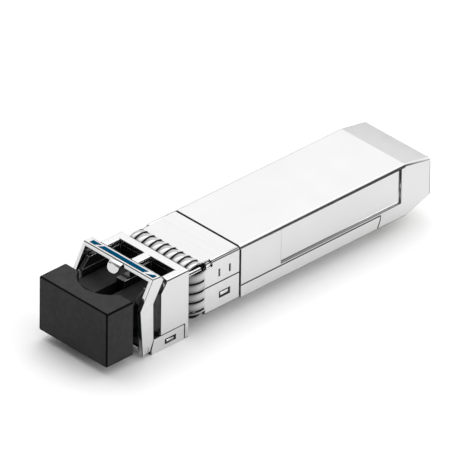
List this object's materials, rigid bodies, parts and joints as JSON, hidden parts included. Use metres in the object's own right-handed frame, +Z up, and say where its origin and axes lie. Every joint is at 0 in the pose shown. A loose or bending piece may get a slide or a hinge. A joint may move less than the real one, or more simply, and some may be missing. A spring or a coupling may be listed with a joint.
{
  "type": "optical transceiver module",
  "caption": "Pluggable duplex optical transceiver module with a hinged bail latch, sprung shielding collar, rear card edge and a black dust plug in its ports.",
  "frame": {"origin": "middle of the footprint, on the plane that the nose's underside stands on", "axes": "+X across the module, +Y along it towards the card edge, -Y towards the dust plug, +Z up from the latch side to the roof"},
  "size_m": [0.0142, 0.0632, 0.0125],
  "materials": {
    "nickel_casting": "die-cast zinc alloy, satin nickel plate",
    "nickel_sheet": "stamped spring sheet, bright nickel plate",
    "steel_pin": "ground stainless steel",
    "blue_marking": "blue enamel strip",
    "black_liner": "glossy black moulding",
    "black_rubber": "matte black elastomer",
    "zirconia": "polished zirconia",
    "gold_can": "gold-plated kovar",
    "flex_film": "polyimide film",
    "board_laminate": "green solder mask on glass laminate",
    "gold_contact": "hard gold over nickel",
    "chip_moulding": "black epoxy moulding",
    "crystal_can": "seam-welded lid",
    "ceramic_body": "fired ceramic with tinned ends",
    "ferrite": "moulded ferrite",
    "gap_pad": "soft silicone gap filler",
    "absorber": "filled silicone sheet",
    "screw_steel": "zinc-plated steel"
  },
  "bodies": {
    "module": {"absorber_sheet": "absorber", "base_housing": "nickel_casting", "capacitors": "ceramic_body", "clock_crystal": "crystal_can", "controller_chip": "chip_moulding", "cover_screws": "screw_steel", "detector_can": "gold_can", "driver_thermal_pad": "gap_pad", "edge_contacts": "gold_contact", "emi_collar_lower": "nickel_sheet", "emi_collar_upper": "nickel_sheet", "laser_can": "gold_can", "laser_driver_chip": "chip_moulding", "latch_bracket": "nickel_sheet", "latch_spring": "nickel_sheet", "main_board": "board_laminate", "memory_chip": "chip_moulding", "osa_clamp": "nickel_sheet", "port_liner": "black_liner", "power_inductors": "ferrite", "receiver_chip": "chip_moulding", "resistors": "chip_moulding", "rocker_pin": "steel_pin", "rx_fibre_stub": "zirconia", "rx_flex_circuit": "flex_film", "rx_receptacle_barrel": "steel_pin", "rx_split_sleeve": "zirconia", "top_cover": "nickel_casting", "tx_fibre_stub": "zirconia", "tx_flex_circuit": "flex_film", "tx_receptacle_barrel": "steel_pin", "tx_split_sleeve": "zirconia"},
    "bail": {"bail_frame": "nickel_sheet", "bail_inlay": "blue_marking", "bail_shaft": "steel_pin"},
    "plug": {"dust_plug": "black_rubber"},
    "rocker": {"latch_rocker": "nickel_sheet"}
  },
  "joints": [
    {"name": "bail_swing", "type": "hinge", "parent": "module", "child": "bail", "pos_m": [0, -0.0241, 0.00133], "axis": [1, 0, 0], "range_deg": [0, 90]},
    {"name": "plug_pull", "type": "slide", "parent": "module", "child": "plug", "axis": [0, -1, 0], "range_m": [0, 0.0369]},
    {"name": "latch_rock", "type": "hinge", "parent": "module", "child": "rocker", "pos_m": [0, -0.0189, 0.00108], "axis": [1, 0, 0], "range_deg": [0, 5.4], "stiffness_Nm_per_rad": 0.001, "deforming": ["latch_spring"]}
  ],
  "couplings": [
    {"joint": "bail_swing", "follows": "plug_pull", "rad_per_m": 42.5},
    {"joint": "latch_rock", "follows": "plug_pull", "rad_per_m": 2.5}
  ]
}
